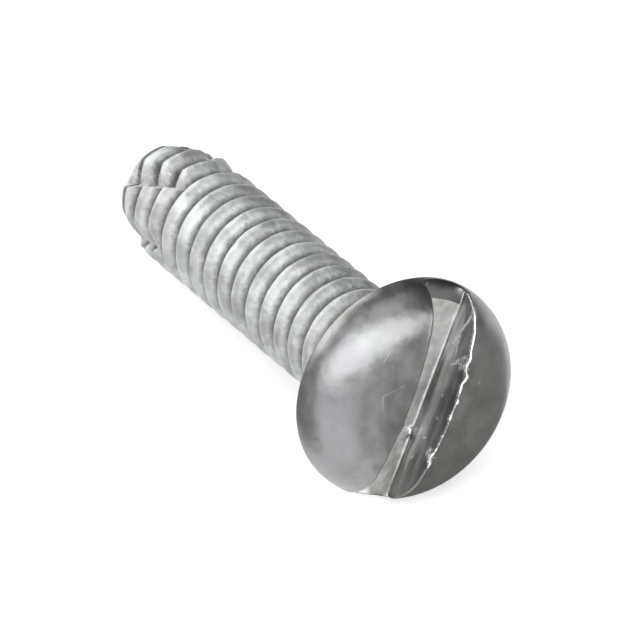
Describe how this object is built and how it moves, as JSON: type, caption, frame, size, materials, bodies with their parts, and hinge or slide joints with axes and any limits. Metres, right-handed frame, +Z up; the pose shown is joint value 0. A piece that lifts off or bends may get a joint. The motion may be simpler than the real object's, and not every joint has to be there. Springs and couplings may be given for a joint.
{
  "type": "slotted pan head self-tapping screw",
  "caption": "Slotted pan head self-tapping screw in bright zinc-plated steel: full machine-screw thread, blunt tapered point with slanting cutting flutes, lying on its side.",
  "frame": {"origin": "on the ground, under the middle of the outline of the screw as it lies", "axes": "+X along the ground under the screw from its point to its head, +Z up; the screw's axis lies in the XZ plane and rises 7.6 degrees towards the head"},
  "size_m": [0.0152, 0.0066, 0.0065],
  "materials": {
    "zinc_plate": "bright zinc plate, satin on the thread and glossier on the head"
  },
  "bodies": {
    "root": {"screw": "zinc_plate"}
  },
  "joints": []
}
